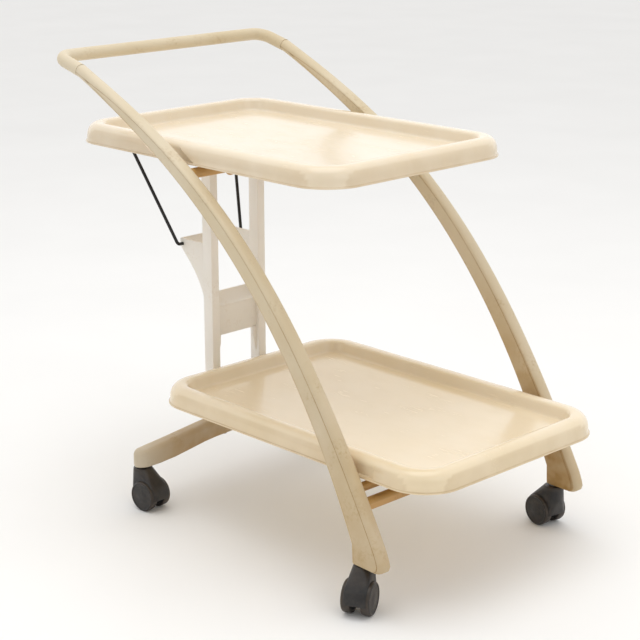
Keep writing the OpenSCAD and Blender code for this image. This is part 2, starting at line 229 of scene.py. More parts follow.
def worn_nylon(name, base, dust):
    """Nylon castor mouldings: dark, scuffed dull by the floor, with brown dust in their hollows."""
    material, tree = blank_material(name)
    colour = blend_colour(tree, between(tree, noise(tree, 14, 4.0), 0.40, 0.70), base, "#2E2926")
    dusty = calculate(tree, "MULTIPLY", between(tree, noise(tree, 6, 4.0, None, 4.4), 0.45, 0.72), 0.7)
    colour = blend_colour(tree, dusty, colour, dust)
    low = add_node(tree, "Attribute", attribute_name="grime_and_shade").outputs["Fac"]
    colour = blend_colour(tree, calculate(tree, "MULTIPLY", low, 0.45), colour, "#54432F")
    scratches = noise(tree, 1.0, 3.0, (0.3, 1.0, 0.6))
    rough = between(tree, scratches, 0.3, 0.75, 0.34, 0.58)
    normal = bump(tree, scratches, 0.03, 0.5)
    shader = add_node(tree, "BsdfPrincipled", {
        "Base Color": colour, "Roughness": rough, "Normal": normal, "IOR": 1.53,
    })
    finish_material(tree, shader)
    return material


def dipped_wire(name):
    """Steel wire dipped in black vinyl: smooth, half glossy, with a soft ripple from the dip."""
    material, tree = blank_material(name)
    colour = blend_colour(tree, between(tree, noise(tree, 8, 3.0), 0.4, 0.7), "#060505", "#100E0D")
    rough = between(tree, noise(tree, 3, 2.0), 0.3, 0.7, 0.28, 0.42)
    shader = add_node(tree, "BsdfPrincipled", {
        "Base Color": colour, "Roughness": rough, "Normal": bump(tree, noise(tree, 4, 1.0), 0.05, 0.4),
        "IOR": 1.5,
    })
    finish_material(tree, shader)
    return material


def zinc_plated_steel(name):
    """Zinc-plated steel: cold grey metal, drawn and then dulled by handling, with small brown spots."""
    material, tree = blank_material(name)
    colour = blend_colour(tree, between(tree, noise(tree, 5, 3.0), 0.4, 0.7), "#9A9893", "#7B7872")
    spots = between(tree, noise(tree, 2.5, 2.0, None, 1.9), 0.64, 0.72)
    colour = blend_colour(tree, spots, colour, "#6A4A2C")
    rough = between(tree, noise(tree, 0.8, 2.0, (0.15, 1.0, 1.0)), 0.3, 0.7, 0.32, 0.5)
    metal = between(tree, spots, 0.0, 1.0, 1.0, 0.2)
    shader = add_node(tree, "BsdfPrincipled", {
        "Base Color": colour, "Roughness": rough, "Metallic": metal,
        "Normal": bump(tree, noise(tree, 1.2, 2.0), 0.01, 0.4),
    })
    finish_material(tree, shader)
    return material


def pale_floor(name, base):
    """Matt painted studio floor: even, with the faintest grain."""
    material, tree = blank_material(name)
    colour = blend_colour(tree, noise(tree, 400, 2.0), base, "#F1F0EE")
    shader = add_node(tree, "BsdfPrincipled", {
        "Base Color": colour, "Roughness": between(tree, noise(tree, 30, 2.0), 0.3, 0.7, 0.85, 0.95),
        "Normal": bump(tree, noise(tree, 5, 2.0), 0.02, 0.2),
    })
    finish_material(tree, shader)
    return material


def material(key):
    """The finish of this name, made once, in the colour that the settings give."""
    if key in bpy.data.materials:
        return bpy.data.materials[key]
    chosen = bpy.context.scene.trolley_finishes
    finishes = {
        "tray_upper_abs": lambda: glossy_abs(key, (*chosen.upper_tray, 1.0), "#E5D3B6"),
        "tray_lower_abs": lambda: glossy_abs(key, (*chosen.lower_tray, 1.0), "#E9D5B0"),
        "arm_polypropylene":
            lambda: satin_polypropylene(key, (*chosen.arms, 1.0), "#CDBB98", "#A98B5A", 0.45),
        "column_polypropylene":
            lambda: satin_polypropylene(key, (*chosen.column, 1.0), "#ECE5D9", "#C2A57A", 0.2),
        "beam_polypropylene":
            lambda: satin_polypropylene(key, (*chosen.foot_beam, 1.0), "#C0AF93", "#94744A", 0.6),
        "bar_polypropylene":
            lambda: satin_polypropylene(key, (*chosen.bars, 1.0), "#BE9050", "#7A5527", 0.4),
        "castor_nylon": lambda: worn_nylon(key, (*chosen.hoods, 1.0), "#2E2721"),
        "wheel_nylon": lambda: worn_nylon(key, (*chosen.wheels, 1.0), "#372D24"),
        "wire_vinyl": lambda: dipped_wire(key),
        "plated_steel": lambda: zinc_plated_steel(key),
        "studio_floor": lambda: pale_floor(key, (*chosen.floor, 1.0)),
    }
    return finishes[key]()


# ---------------------------------------------------------------- mesh helpers


def bezier(points, t):
    """Point in X and Z on a cubic curve."""
    a, b, c, d = (Vector(p) for p in points)
    s = 1.0 - t
    return s * s * s * a + 3 * s * s * t * b + 3 * s * t * t * c + t * t * t * d


def add_piece(name, bm, finish, body, slot, nodes=(), sharp=32.0):
    """Turn a bmesh into a piece that rides on a body and stands for CAD nodes."""
    bmesh.ops.remove_doubles(bm, verts=bm.verts, dist=0.000002)
    for face in bm.faces:
        face.smooth = True
    for edge in bm.edges:
        if len(edge.link_faces) == 2 and edge.calc_face_angle(0.0) > math.radians(sharp):
            edge.smooth = False
    mesh = bpy.data.meshes.new(name)
    bm.to_mesh(mesh)
    bm.free()
    mesh.materials.append(material(finish))
    piece = bpy.data.objects.new(name, mesh)
    bpy.context.scene.collection.objects.link(piece)
    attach(piece, body)
    if nodes:
        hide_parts(*nodes)
    return piece


def dress_node(node, finish):
    """Give a CAD node that stays its own finish."""
    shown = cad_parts[node]
    for place in shown.material_slots:
        place.material = material(finish)
    if not shown.material_slots:
        shown.data.materials.append(material(finish))


def ring(bm, points):
    """Closed loop of edges through these points."""
    made = bmesh.ops.create_circle(bm, segments=len(points), radius=0.01)["verts"]
    for vert, point in zip(made, points):
        vert.co = point
    return made


def ring_edges(verts):
    """The edges that join these verts."""
    chosen = set(verts)
    return [e for e in dict.fromkeys(e for v in verts for e in v.link_edges) if set(e.verts) <= chosen]


def loft(bm, rings):
    """Skin from ring to ring, with capped ends."""
    loops = [ring(bm, points) for points in rings]
    edges = [ring_edges(loop) for loop in loops]
    for first, second in zip(edges, edges[1:]):
        bmesh.ops.bridge_loops(bm, edges=first + second)
    bmesh.ops.holes_fill(bm, edges=edges[0] + edges[-1], sides=0)
    bmesh.ops.recalc_face_normals(bm, faces=bm.faces)


def tube_rings(path, radius, count=32, up=Vector((0.0, 0.0, 1.0))):
    """Circles square to a path of points."""
    rings = []
    side = None
    for i, point in enumerate(path):
        ahead = path[min(i + 1, len(path) - 1)] - path[max(i - 1, 0)]
        ahead.normalize()
        side = ahead.cross(up).normalized() if side is None else (side - ahead * side.dot(ahead)).normalized()
        over = side.cross(ahead)
        turns = [2 * math.pi * k / count for k in range(count)]
        rings.append([point + radius * (math.cos(a) * side + math.sin(a) * over) for a in turns])
    return rings


def rounded_path(corners, radius, steps=10):
    """Path through corner points with each inner corner rounded."""
    path = [corners[0]]
    for before, corner, after in zip(corners, corners[1:], corners[2:]):
        inward = (before - corner).normalized()
        outward = (after - corner).normalized()
        half = inward.angle(outward) / 2
        reach = radius / math.tan(half)
        centre = corner + (inward + outward).normalized() * radius / math.sin(half)
        start = (corner + inward * reach - centre).normalized()
        end = (corner + outward * reach - centre).normalized()
        for k in range(steps + 1):
            path.append(centre + start.slerp(end, k / steps) * radius)
    path.append(corners[-1])
    return path


def plate(bm, outline, low, high, axis="Y", rounds=None, edge=0.0, segments=3):
    """Flat outline with rounded corners, extruded between two planes, its edges eased."""
    spread = {"Y": lambda a, b, h: (a, h, b), "Z": lambda a, b, h: (a, b, h), "X": lambda a, b, h: (h, a, b)}
    # Each plate is shaped by itself, so that no other plate's faces can be taken for its own
    part = bmesh.new()
    corners = [part.verts.new(spread[axis](a, b, low)) for a, b in outline]
    part.faces.new(corners)
    for index, radius in sorted((rounds or {}).items()):
        bmesh.ops.bevel(
            part, geom=[corners[index]], offset=radius, affect="VERTICES", segments=8,
            profile=0.5, material=-1, clamp_overlap=False,
        )
    made = bmesh.ops.extrude_face_region(part, geom=part.faces[:])["geom"]
    shift = Vector(spread[axis](0.0, 0.0, high - low))
    moved = [g for g in made if isinstance(g, bmesh.types.BMVert)]
    bmesh.ops.translate(part, verts=moved, vec=shift)
    bmesh.ops.recalc_face_normals(part, faces=part.faces)
    if edge:
        sharp = [e for e in part.edges if e.calc_face_angle(0.0) > math.radians(35)]
        bmesh.ops.bevel(
            part, geom=sharp, offset=edge, affect="EDGES", segments=segments,
            profile=0.5, material=-1, clamp_overlap=True,
        )
    join(bm, part)


def join(bm, part):
    """Move all of one bmesh into another."""
    carrier = bpy.data.meshes.new("carrier")
    part.to_mesh(carrier)
    part.free()
    bm.from_mesh(carrier)
    bpy.data.meshes.remove(carrier)


def turned(bm, profile, centre, axis, steps=64):
    """Spin a profile of (radius, height) points around an axis."""
    axis = Vector(axis).normalized()
    across = axis.orthogonal().normalized()
    verts = [bm.verts.new(Vector(centre) + across * r + axis * h) for r, h in profile]
    edges = [bm.edges.new(pair) for pair in zip(verts, verts[1:])]
    bmesh.ops.spin(
        bm, geom=verts + edges, cent=centre, axis=axis, dvec=(0.0, 0.0, 0.0),
        angle=2 * math.pi, steps=steps, use_merge=True, use_duplicate=False,
    )
    bmesh.ops.remove_doubles(bm, verts=bm.verts, dist=0.000005)
    bmesh.ops.recalc_face_normals(bm, faces=bm.faces)


def eased_copy(node, name, finish, body, slot, edge):
    """Copy of a CAD node with its doubles merged and its sharp edges eased."""
    bm = bmesh.new()
    bm.from_mesh(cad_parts[node].data)
    bmesh.ops.remove_doubles(bm, verts=bm.verts, dist=0.00001)
    bmesh.ops.dissolve_limit(bm, angle_limit=math.radians(1.0), verts=bm.verts, edges=bm.edges)
    bmesh.ops.recalc_face_normals(bm, faces=bm.faces)
    sharp = [e for e in bm.edges if len(e.link_faces) == 2 and e.calc_face_angle(0.0) > math.radians(50)]
    bmesh.ops.bevel(
        bm, geom=sharp, offset=edge, affect="EDGES", segments=2,
        profile=0.5, material=-1, clamp_overlap=True,
    )
    return add_piece(name, bm, finish, body, slot, (node,))


def mark_grime_and_shade(bm, rule):
    """Store where dirt gathers, and where shade is painted, as an attribute on the verts."""
    layer = bm.verts.layers.float.get("grime_and_shade") or bm.verts.layers.float.new("grime_and_shade")
    for vert in bm.verts:
        vert[layer] = rule(vert.co)


# ---------------------------------------------------------------- settings


class TraySettings(bpy.types.PropertyGroup):
    """Sizes of the two trays."""

    length: FloatProperty(name="Length", description="Length of a tray", default=0.600, unit="LENGTH")
    width: FloatProperty(name="Width", description="Width of a tray", default=0.410, unit="LENGTH")
    corner: FloatProperty(name="Corner", description="Corner radius seen from above",
                          default=0.066, unit="LENGTH")
    shell: FloatProperty(name="Shell", description="Wall thickness of the moulding",
                         default=0.003, unit="LENGTH")
    pocket: FloatProperty(name="Pocket", description="Depth of the flats beside the arms",
                          default=0.0065, unit="LENGTH")


class ArmSettings(bpy.types.PropertyGroup):
    """Sizes of the side arms and the push handle."""

    spacing: FloatProperty(name="Spacing", description="Middle plane to the middle of an arm",
                           default=0.221, unit="LENGTH")
    thickness: FloatProperty(name="Thickness", description="Thickness of an arm across the trolley",
                             default=0.022, unit="LENGTH")
    stations: IntProperty(name="Stations", description="Sections along an arm", default=44, min=12)
    handle_radius: FloatProperty(name="Handle radius", description="Radius of the handle tube",
                                 default=0.0104, unit="LENGTH")
    bend: FloatProperty(name="Bend", description="Radius of the handle's bends",
                        default=0.024, unit="LENGTH")
    slope: FloatProperty(name="Slope", description="Slope of the handle down to the arms",
                         default=math.radians(14.5), subtype="ANGLE")


class ColumnSettings(bpy.types.PropertyGroup):
    """Sizes of the rear column, its foot beam and the stay wire."""

    half_width: FloatProperty(name="Half width", description="Middle plane to an upright's outer face",
                              default=0.060, unit="LENGTH")
    upright: FloatProperty(name="Upright", description="Width of an upright", default=0.016, unit="LENGTH")
    wire_radius: FloatProperty(name="Wire radius", description="Radius of the stay wire",
                               default=0.00275, unit="LENGTH")


class CastorSettings(bpy.types.PropertyGroup):
    """Sizes of the castors."""

    wheel_radius: FloatProperty(name="Wheel radius", description="Radius of a wheel",
                                default=0.025, unit="LENGTH")
    trail: FloatProperty(name="Trail", description="Swivel axis to the axle", default=0.017, unit="LENGTH")


def colour_setting(name, description, code):
    """Setting for the main colour of one finish."""
    return FloatVectorProperty(name=name, description=description, subtype="COLOR", size=3,
                               min=0.0, max=1.0, default=linear(code)[:3])


class FinishSettings(bpy.types.PropertyGroup):
    """Main colours of the mouldings and the floor."""

    upper_tray: colour_setting("Upper tray", "Colour of the upper tray", "#E9DBC3")
    lower_tray: colour_setting("Lower tray", "Colour of the lower tray", "#EDDCBE")
    arms: colour_setting("Arms", "Colour of the side arms and the push handle", "#D8CAAF")
    column: colour_setting("Column", "Colour of the rear column", "#F4EFE7")
    foot_beam: colour_setting("Foot beam", "Colour of the rear foot beam", "#CFC3AE")
    bars: colour_setting("Bars", "Colour of the cross bars and the hinge parts", "#D0A468")
    hoods: colour_setting("Hoods", "Colour of the castor hoods", "#131110")
    wheels: colour_setting("Wheels", "Colour of the wheels", "#13110F")
    floor: colour_setting("Floor", "Colour of the floor", "#F7F6F4")


class StageSettings(bpy.types.PropertyGroup):
    """Camera."""

    azimuth: FloatProperty(name="Azimuth", description="Direction of the view",
                           default=math.radians(47.62), subtype="ANGLE")
    elevation: FloatProperty(name="Elevation", description="Height of the view",
                             default=math.radians(17.34), subtype="ANGLE")
    roll: FloatProperty(name="Roll", description="Turn of the camera about its view",
                        default=math.radians(-0.563), subtype="ANGLE")
    lens: FloatProperty(name="Lens", description="Focal length of the camera in millimetres",
                        default=93.58, unit="CAMERA")


# ---------------------------------------------------------------- trays


# Tray wall from its lower bead to the floor of the well: inset and height in millimetres
TRAY_WALL = (
    (0.0, 0.9), (0.0, 2.0), (0.5, 2.9), (1.6, 3.5), (2.1, 4.4), (2.5, 11.0), (3.0, 15.0), (4.0, 18.9),
    (5.6, 22.4), (7.8, 25.4), (10.6, 27.9), (13.8, 29.7), (17.4, 30.7), (21.0, 31.0), (25.0, 30.9),
    (28.2, 30.4), (30.4, 29.3), (31.8, 27.6), (32.6, 25.4), (34.8, 16.4), (35.6, 14.2), (36.9, 12.4),
    (38.8, 11.4), (41.5, 11.0),
)
# The seam line above a tray's bead, where painted shade lies, and its half height
BEAD_LINE = 0.0034
BEAD_BAND = 0.0008
# Each tray: piece, finish, body, node, its middle in X and foot in Z, and the two slanted ends of the
# flat beside each arm, as X at the tray's foot and the slope of X with height
TRAYS = (
    ("upper_tray_moulding", "tray_upper_abs", "upper_tray_set", "upper_tray", -0.098, 0.593,
     (0.020, -1.9), (-0.075, -1.9)),
    ("lower_tray_moulding", "tray_lower_abs", "lower_tray_set", "lower_tray", 0.098, 0.191,
     (0.196, -0.02), (0.112, -0.25)),
)
# Width of the slope at each end of a flat
FLAT_EASE = 0.0034


def tray_shell(centre_x, base_z, size, front, rear):
    """Tray skin raised by insets from its lower outline, with flats beside the arms."""
    bm = bmesh.new()
    bmesh.ops.create_grid(bm, x_segments=1, y_segments=1, size=0.5)
    bmesh.ops.scale(bm, vec=(size.length, size.width, 1.0), verts=bm.verts)
    bmesh.ops.bevel(
        bm, geom=list(bm.verts), offset=size.corner, affect="VERTICES", segments=20,
        profile=0.5, material=-1, clamp_overlap=False,
    )
    bmesh.ops.translate(bm, vec=(0.0, 0.0, TRAY_WALL[0][1] * MM), verts=bm.verts)
    top = bm.faces[:][0]
    if top.normal.z < 0:
        top.normal_flip()
    for (inset, height), (next_inset, next_height) in zip(TRAY_WALL, TRAY_WALL[1:]):
        bmesh.ops.inset_region(
            bm, faces=[top], thickness=max(next_inset - inset, 0.0001) * MM,
            depth=(next_height - height) * MM, use_boundary=True, use_even_offset=True,
        )
    for side in (-1.0, 1.0):
        for foot, lean, ease in (front[0:2] + (1,), rear[0:2] + (-1,)):
            for step in (0.0, 0.0035):
                across = Vector((1.0, 0.0, -lean)).normalized()
                near = [f for f in bm.faces if f.calc_center_median().y * side > 0.15 and len(f.verts) == 4]
                edges = list(dict.fromkeys(e for f in near for e in f.edges))
                verts = list(dict.fromkeys(v for f in near for v in f.verts))
                bmesh.ops.bisect_plane(bm, geom=near + edges + verts, plane_co=(foot - ease * step, 0.0, 0.0),
                                       plane_no=across, dist=0.00001)
    flat = size.width / 2 - size.pocket
    for vert in bm.verts:
        ahead = front[0] - FLAT_EASE + front[1] * vert.co.z - vert.co.x
        behind = vert.co.x - (rear[0] + FLAT_EASE + rear[1] * vert.co.z)
        if ahead >= 0 and behind >= 0 and vert.co.z > 0.0036 and abs(vert.co.y) > flat:
            vert.co.y = math.copysign(flat, vert.co.y)
    bmesh.ops.recalc_face_normals(bm, faces=bm.faces)
    if top.normal.z < 0:
        bmesh.ops.reverse_faces(bm, faces=bm.faces)
    bmesh.ops.solidify(bm, geom=list(bm.faces), thickness=size.shell)
    lowest = min(v.co.z for v in bm.verts)
    bmesh.ops.translate(bm, vec=(centre_x, 0.0, base_z - min(lowest, 0.0)), verts=bm.verts)
    return bm


class TROLLEY_OT_trays(bpy.types.Operator):
    """Build both trays as moulded shells"""

    bl_idname = "trolley.trays"
    bl_label = "Trays"

    def execute(self, context):
        size = context.scene.trolley_trays
        for name, finish, body, node, centre_x, base_z, front, rear in TRAYS:
            bm = tray_shell(centre_x, base_z, size, front, rear)

            def painted_tray_shade(point, base=base_z, middle=centre_x):
                """Painted shade lies along the bead, and the outside is painted darker than the well, for its
                shaded side walls.
                """
                if abs(point.z - base - BEAD_LINE) < BEAD_BAND:
                    return 0.55
                outside = max(abs(point.x - middle) - size.length / 2, abs(point.y) - size.width / 2)
                return 0.24 if outside > -0.006 else 0.0

            mark_grime_and_shade(bm, painted_tray_shade)
            add_piece(name, bm, finish, body, "tray_cream", (node,), sharp=38.0)
        return {"FINISHED"}


# ---------------------------------------------------------------- arms and handle


# Places in the list that arm_section gives: the bottoms of the grooves, the corners of the rear
GROOVES = (19, 36)
REAR_CORNERS = (22, 27, 28, 33)
# The faces of the arms that look at each other lie inside this distance from the middle plane
INNER_FACE = 0.2105


def arm_section(depth, width, front_r, rear_r, groove):
    """Points across an arm: flat sides, a rounded front and a fine groove where they meet."""
    front_r = min(front_r, width / 2 - 0.0004, depth / 2 - 0.0004)
    rear_r = min(rear_r, width / 2 - 0.0004, depth / 2 - 0.0004)
    points = []

    def arc(centre_u, centre_v, radius, start, count):
        for k in range(count):
            angle = math.radians(start + 90.0 * k / (count - 1))
            points.append((centre_u + radius * math.cos(angle), centre_v + radius * math.sin(angle)))

    def notch(u, v, towards):
        points.append((u - 0.0009 * towards, v))
        points.append((u, v - math.copysign(groove, v)))
        points.append((u + 0.0009 * towards, v))

    half_d = depth / 2
    half_w = width / 2
    seam = half_d - front_r - 0.0016
    arc(half_d - front_r, -half_w + front_r, front_r, -90.0, 9)
    arc(half_d - front_r, half_w - front_r, front_r, 0.0, 9)
    notch(seam, half_w, -1.0)
    calm = min(-half_d + rear_r + 0.0030, seam - 0.0012)
    points.append((calm, half_w))
    arc(-half_d + rear_r, half_w - rear_r, rear_r, 90.0, 6)
    arc(-half_d + rear_r, -half_w + rear_r, rear_r, 180.0, 6)
    points.append((calm, -half_w))
    notch(seam, -half_w, 1.0)
    return points


def arm_rings(y, width, count):
    """Sections of one arm from the handle down to its foot."""
    stations = []
    for k in range(count + 1):
        t = k / count
        stations.append((bezier(REAR_EDGE, t), bezier(FRONT_EDGE, t), t))
    foot = (
        ((0.2806, 0.0900), (0.3398, 0.0868)), ((0.2811, 0.0800), (0.3418, 0.0795)),
        ((0.2815, 0.0735), (0.3400, 0.0735)), ((0.2822, 0.0720), (0.3350, 0.0702)),
    )
    stations += [(Vector(rear), Vector(front), 1.0) for rear, front in foot]
    rings = []
    for rear, front, t in stations:
        middle = (rear + front) / 2
        along = front - rear
        depth = along.length
        along.normalize()
        body = min(1.0, t / 0.30)
        section = arm_section(depth, width * (0.945 + 0.055 * body), 0.0094 - 0.0006 * body,
                              0.0094 - 0.0062 * body, 0.0007 * min(1.0, t / 0.35))
        rings.append([Vector((middle.x + along.x * u, y + v, middle.y + along.y * u))
                      for u, v in section])
    return rings


def arm_grime(rings):
    """Rule that darkens an arm's grooves, worn edges and lower half."""
    groove = [(points[k], 0.85) for points in rings for k in GROOVES]
    rear = [(points[k], 0.35) for points in rings for k in REAR_CORNERS]
    marks = {tuple(round(c, 6) for c in point): value for point, value in rear + groove}

    def rule(co):
        """An arm is darker on its lower half, and most on its inner face by the foot."""
        lower_darkening = 0.32 * max(0.0, 1.0 - co.z / 0.50)
        if abs(co.y) < INNER_FACE:
            lower_darkening += 0.50 * max(0.0, 1.0 - co.z / 0.40)
        return max(lower_darkening, marks.get(tuple(round(c, 6) for c in co), 0.0))

    return rule


class TROLLEY_OT_arms(bpy.types.Operator):
    """Build the two curved side arms"""

    bl_idname = "trolley.arms"
    bl_label = "Side arms"

    def execute(self, context):
        size = context.scene.trolley_arms
        for node, side in (("right_arm", -1.0), ("left_arm", 1.0)):
            bm = bmesh.new()
            rings = arm_rings(side * size.spacing, size.thickness, size.stations)
            loft(bm, rings)
            mark_grime_and_shade(bm, arm_grime(rings))
            add_piece(node + "_moulding", bm, "arm_polypropylene", "side_frame", "arm_beige", (node,))
        return {"FINISHED"}


class TROLLEY_OT_handle(bpy.types.Operator):
    """Build the push handle"""

    bl_idname = "trolley.handle"
    bl_label = "Push handle"

    def execute(self, context):
        size = context.scene.trolley_arms
        away = Vector((math.cos(size.slope), 0.0, -math.sin(size.slope)))
        middle = Vector((HANDLE_MIDDLE[0], 0.0, HANDLE_MIDDLE[1]))
        side = Vector((0.0, size.spacing, 0.0))
        stub = away * HANDLE_STUB
        corners = [middle - side + stub, middle - side, middle + side, middle + side + stub]
        path = rounded_path(corners, size.bend, 14)
        bm = bmesh.new()
        loft(bm, tube_rings(path, size.handle_radius, 40))
        add_piece("handle_tube", bm, "arm_polypropylene", "side_frame", "arm_beige", ("handle_bar",))
        return {"FINISHED"}


class TROLLEY_OT_cross_bars(bpy.types.Operator):
    """Build the bars and the beam between the arms"""

    bl_idname = "trolley.cross_bars"
    bl_label = "Cross bars"

    def execute(self, context):
        for node, (x, z), radius in CROSS_BARS:
            bm = bmesh.new()
            profile = ((0.0, -BAR_REACH), (radius, -BAR_REACH), (radius, BAR_REACH), (0.0, BAR_REACH))
            turned(bm, profile, (x, 0.0, z), (0.0, 1.0, 0.0), 48)
            # Painted shade: the whole bar is darkened evenly, for the shadow under the trays
            mark_grime_and_shade(bm, lambda co: 0.25)
            add_piece(node + "_tube", bm, "bar_polypropylene", "side_frame", "bar_tan", (node,))
        bm = bmesh.new()
        plate(bm, LOWER_BEAM, -BAR_REACH, BAR_REACH, "Y", LOWER_BEAM_ROUNDS)
        # Painted shade: the beam's upper part is darkened most, for the shadow under the lower tray
        mark_grime_and_shade(bm, lambda co: 0.45 if co.z > 0.160 else 0.1)
        add_piece("lower_cross_beam_moulding", bm, "bar_polypropylene", "side_frame", "bar_tan",
                  ("lower_cross_beam",))
        return {"FINISHED"}


# ---------------------------------------------------------------- column


# Stations of the foot beam from its middle outwards: Y, underside, top, half thickness
FOOT_BEAM = (
    (0.0, 0.090, 0.118, 0.015), (0.060, 0.087, 0.1178, 0.015), (0.085, 0.0845, 0.1155, 0.015),
    (0.110, 0.0805, 0.1125, 0.015), (0.150, 0.0745, 0.1078, 0.015), (0.180, 0.0722, 0.1045, 0.0152),
    (0.197, 0.0720, 0.1026, 0.0156), (0.207, 0.0720, 0.1012, 0.016),
)
# Angles at which the beam's round ends are cut into sections
END_ANGLES = (18, 34, 48, 60, 70, 79, 85)


def beam_rings():
    """Sections of the foot beam from end to end, rounded on top and at both ends."""
    stations = list(FOOT_BEAM)
    end_y, end_low, end_high, end_half = FOOT_BEAM[-1]
    for angle in END_ANGLES:
        bend = math.radians(angle)
        high = end_high - 0.0075 * (1 - math.cos(bend)) ** 1.2
        stations.append((end_y + end_half * math.sin(bend), end_low, high, end_half * math.cos(bend)))
    whole = [(-y, low, high, half) for y, low, high, half in reversed(stations[1:])] + stations
    rings = []
    for y, low, high, half in whole:
        round_top = min(0.0105, half * 0.9)
        round_low = min(0.003, half * 0.5)
        points = []
        for cx, cz, radius, start in (
            (half - round_top, high - round_top, round_top, 0),
            (-half + round_top, high - round_top, round_top, 90),
            (-half + round_low, low + round_low, round_low, 180),
            (half - round_low, low + round_low, round_low, 270),
        ):
            for k in range(7):
                angle = math.radians(start + 15.0 * k)
                x = COLUMN_X + cx + radius * math.cos(angle)
                points.append(Vector((x, y, cz + radius * math.sin(angle))))
        rings.append(points)
    return rings


class TROLLEY_OT_column(bpy.types.Operator):
    """Build the rear column, its ears and its foot beam"""

    bl_idname = "trolley.column"
    bl_label = "Rear column"

    def execute(self, context):
        size = context.scene.trolley_column
        outer = size.half_width
        inner = outer - size.upright
        bm = bmesh.new()
        upright = ((-0.239, 0.112), (-0.217, 0.112), (-0.217, 0.583), (-0.239, 0.583))
        ear = ((-0.297, 0.422), (-0.297, 0.409), (-0.2850, 0.3965), (-0.2725, 0.3840), (-0.2600, 0.3695),
               (-0.2490, 0.3530), (-0.2395, 0.3330), (-0.237, 0.3200), (-0.237, 0.4220))
        for side in (-1.0, 1.0):
            near, far = sorted((side * inner, side * outer))
            plate(bm, upright, near, far, "Y", {2: 0.01095, 3: 0.01095}, 0.0040)
            near, far = sorted((side * (outer - 0.004), side * outer))
            plate(bm, ear, near, far, "Y", {0: 0.002, 1: 0.004}, 0.0009, 2)
        plate(bm, ((-0.297, 0.404), (-0.293, 0.404), (-0.293, 0.422), (-0.297, 0.422)),
              -outer + 0.002, outer - 0.002, "Y", None, 0.0009, 2)
        panel = ((-0.239, 0.335), (-0.235, 0.335), (-0.219, 0.317), (-0.219, 0.313), (-0.224, 0.313),
                 (-0.224, 0.261), (-0.230, 0.261), (-0.230, 0.309), (-0.239, 0.322))
        plate(bm, panel, -inner - 0.004, inner + 0.004, "Y", {2: 0.002, 4: 0.003}, 0.0007, 2)
        for side in (-1.0, 1.0):
            web = ((side * (inner + 0.003), 0.263), (side * (inner + 0.003), 0.205),
                   (side * (inner - 0.0025), 0.225), (side * (inner - 0.0075), 0.246),
                   (side * (inner - 0.0085), 0.263))
            plate(bm, web, -0.230, -0.224, "X", None, 0.0006, 2)
        foot = outer + 0.004
        base = ((-0.243, -foot), (-0.213, -foot), (-0.213, foot), (-0.243, foot))
        plate(bm, base, 0.112, 0.124, "Z", {0: 0.006, 1: 0.006, 2: 0.006, 3: 0.006}, 0.003)
        add_piece("column_moulding", bm, "column_polypropylene", "rear_column", "column_white", ("column",))
        bm = bmesh.new()
        loft(bm, beam_rings())

        def shaded_beam(co):
            """The beam carries painted shade for its shaded front face: darkest in its middle and along its
            lower edge.
            """
            inwards = min(1.0, max(0.0, (0.205 - abs(co.y)) / 0.070))
            lower = min(1.0, max(0.0, (0.104 - co.z) / 0.022))
            return inwards * (0.34 + 0.20 * lower)

        mark_grime_and_shade(bm, shaded_beam)
        add_piece("foot_beam_moulding", bm, "beam_polypropylene", "rear_column", "column_white",
                  ("foot_beam",))
        return {"FINISHED"}


class TROLLEY_OT_stay_wire(bpy.types.Operator):
    """Build the bent stay wire between the upper tray and the column's ears"""

    bl_idname = "trolley.stay_wire"
    bl_label = "Stay wire"

    def execute(self, context):
        size = context.scene.trolley_column
        half = [
            Vector((WIRE_HOOK[0], WIRE_HALF[0], WIRE_HOOK[1])),
            Vector((WIRE_HOOK[0], WIRE_HALF[1], WIRE_HOOK[1])),
            Vector((WIRE_TOP[0], WIRE_HALF[2], WIRE_TOP[1])),
        ]
        corners = [Vector((p.x, -p.y, p.z)) for p in half] + half[::-1]
        path = rounded_path(corners, 0.0055, 8)
        bm = bmesh.new()
        loft(bm, tube_rings(path, size.wire_radius, 20, Vector((1.0, 0.0, 0.0))))
        add_piece("stay_wire_bail", bm, "wire_vinyl", "rear_column", "wire_black", ("stay_wire",))
        return {"FINISHED"}


# ---------------------------------------------------------------- castors


HOOD_HALF = 0.0170
HOOD_CUT = 0.0210
WEB_HALF = 0.0068
AXLE_BOSS = 0.0055


def around(centre, radius, degrees):
    """Points in X and Z on a circle at these angles."""
    angles = [math.radians(d) for d in degrees]
    return [(centre.x + radius * math.cos(a), centre.z + radius * math.sin(a)) for a in angles]


